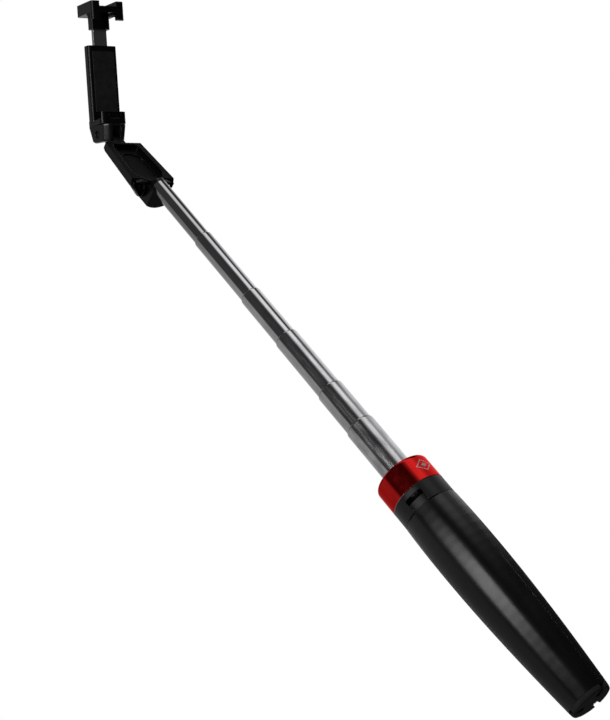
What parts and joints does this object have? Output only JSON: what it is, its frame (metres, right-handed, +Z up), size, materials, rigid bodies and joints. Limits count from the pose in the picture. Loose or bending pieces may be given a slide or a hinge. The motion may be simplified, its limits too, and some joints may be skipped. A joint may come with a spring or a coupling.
{
  "type": "tripod selfie stick",
  "caption": "Telescoping pole with a spring-loaded phone clamp on a hinged head, on a handle that splits into three fold-out legs.",
  "frame": {"origin": "on the pole's axis, in the plane of the handle's foot end", "axes": "+Z up the pole from the handle to the phone clamp, X along the hinge axes of the head, -Y the side the clamp leans to and the arm's recess faces"},
  "size_m": [0.0364, 0.0906, 0.5844],
  "materials": {
    "red_anodised_metal": "red anodised, satin",
    "black_plastic": "satin moulded black",
    "steel_tube": "polished, fine brushing along the pole",
    "black_rubber": "matte",
    "white_plastic": "natural acetal",
    "zinc_steel": "zinc plated",
    "dark_steel": "black zinc plated"
  },
  "bodies": {
    "handle": {"collar_ring": "red_anodised_metal", "leg_hub": "black_plastic", "outer_tube": "steel_tube", "tube_end_plug": "black_plastic", "mouth_wiper_ring": "black_rubber", "hub_set_screws": "zinc_steel", "leg_hinge_pins": "zinc_steel"},
    "front_left_leg": {"front_left_leg_shell": "black_plastic", "front_left_leg_liner": "black_plastic", "front_left_leg_foot": "black_rubber", "front_left_leg_screws": "dark_steel"},
    "front_right_leg": {"front_right_leg_shell": "black_plastic", "front_right_leg_liner": "black_plastic", "front_right_leg_foot": "black_rubber", "front_right_leg_screws": "dark_steel"},
    "rear_leg": {"rear_leg_shell": "black_plastic", "rear_leg_liner": "black_plastic", "rear_leg_foot": "black_rubber", "rear_leg_screws": "dark_steel"},
    "section_6": {"section_6_tube": "steel_tube", "section_6_bush": "white_plastic"},
    "section_5": {"section_5_tube": "steel_tube", "section_5_bush": "white_plastic"},
    "section_4": {"section_4_tube": "steel_tube", "section_4_bush": "white_plastic"},
    "section_3": {"section_3_tube": "steel_tube", "section_3_bush": "white_plastic"},
    "section_2": {"section_2_tube": "steel_tube", "section_2_bush": "white_plastic"},
    "section_1": {"section_1_tube": "steel_tube", "section_1_bush": "white_plastic", "head_block": "black_plastic", "head_block_pin": "zinc_steel"},
    "arm": {"arm_shell": "black_plastic", "arm_hinge_bolt": "dark_steel", "arm_hinge_nut": "dark_steel"},
    "neck": {"clamp_neck": "black_plastic", "clamp_hinge_bolt": "dark_steel", "clamp_hinge_nut": "dark_steel", "swivel_screw": "dark_steel", "swivel_washer": "white_plastic"},
    "clamp": {"clamp_body": "black_plastic", "clamp_back_cover": "black_plastic", "back_cover_screws": "dark_steel", "lower_jaw_pad": "black_rubber", "clamp_back_pad": "black_rubber", "jaw_springs": "zinc_steel"},
    "jaw": {"upper_jaw": "black_plastic", "upper_jaw_pads": "black_rubber", "slider_plate": "zinc_steel", "slider_screws": "dark_steel"}
  },
  "joints": [
    {"name": "front_left_leg_fold", "type": "hinge", "parent": "handle", "child": "front_left_leg", "pos_m": [-0.01169, -0.00675, 0.141], "axis": [-0.5, 0.866, 0], "range_deg": [0, 60]},
    {"name": "front_right_leg_fold", "type": "hinge", "parent": "handle", "child": "front_right_leg", "pos_m": [0.01169, -0.00675, 0.141], "axis": [-0.5, -0.866, 0], "range_deg": [0, 60]},
    {"name": "rear_leg_fold", "type": "hinge", "parent": "handle", "child": "rear_leg", "pos_m": [0, 0.0135, 0.141], "axis": [1, 0, 0], "range_deg": [0, 60]},
    {"name": "section_6_slide", "type": "slide", "parent": "handle", "child": "section_6", "axis": [0, 0, 1], "range_m": [-0.0395, 0.0795]},
    {"name": "section_5_slide", "type": "slide", "parent": "section_6", "child": "section_5", "axis": [0, 0, 1], "range_m": [-0.0275, 0.0945]},
    {"name": "section_4_slide", "type": "slide", "parent": "section_5", "child": "section_4", "axis": [0, 0, 1], "range_m": [-0.045, 0.0762]},
    {"name": "section_3_slide", "type": "slide", "parent": "section_4", "child": "section_3", "axis": [0, 0, 1], "range_m": [-0.0384, 0.0808]},
    {"name": "section_2_slide", "type": "slide", "parent": "section_3", "child": "section_2", "axis": [0, 0, 1], "range_m": [-0.0552, 0.062]},
    {"name": "section_1_slide", "type": "slide", "parent": "section_2", "child": "section_1", "axis": [0, 0, 1], "range_m": [-0.052, 0.0617]},
    {"name": "arm_tilt", "type": "hinge", "parent": "section_1", "child": "arm", "pos_m": [0, 0.006, 0.4545], "axis": [1, 0, 0], "range_deg": [-90, 12]},
    {"name": "clamp_tilt", "type": "hinge", "parent": "arm", "child": "neck", "pos_m": [0, 0.005, 0.514], "axis": [1, 0, 0], "range_deg": [-90, 36]},
    {"name": "clamp_swivel", "type": "hinge", "parent": "neck", "child": "clamp", "pos_m": [0, 0.005, 0.514], "axis": [0, -0.7501, 0.6613], "continuous": true},
    {"name": "jaw_slide", "type": "slide", "parent": "clamp", "child": "jaw", "axis": [0, -0.7501, 0.6613], "range_m": [-0.011, 0.017], "stiffness_N_per_m": 250, "springref_m": -0.016, "deforming": ["jaw_springs"]}
  ]
}
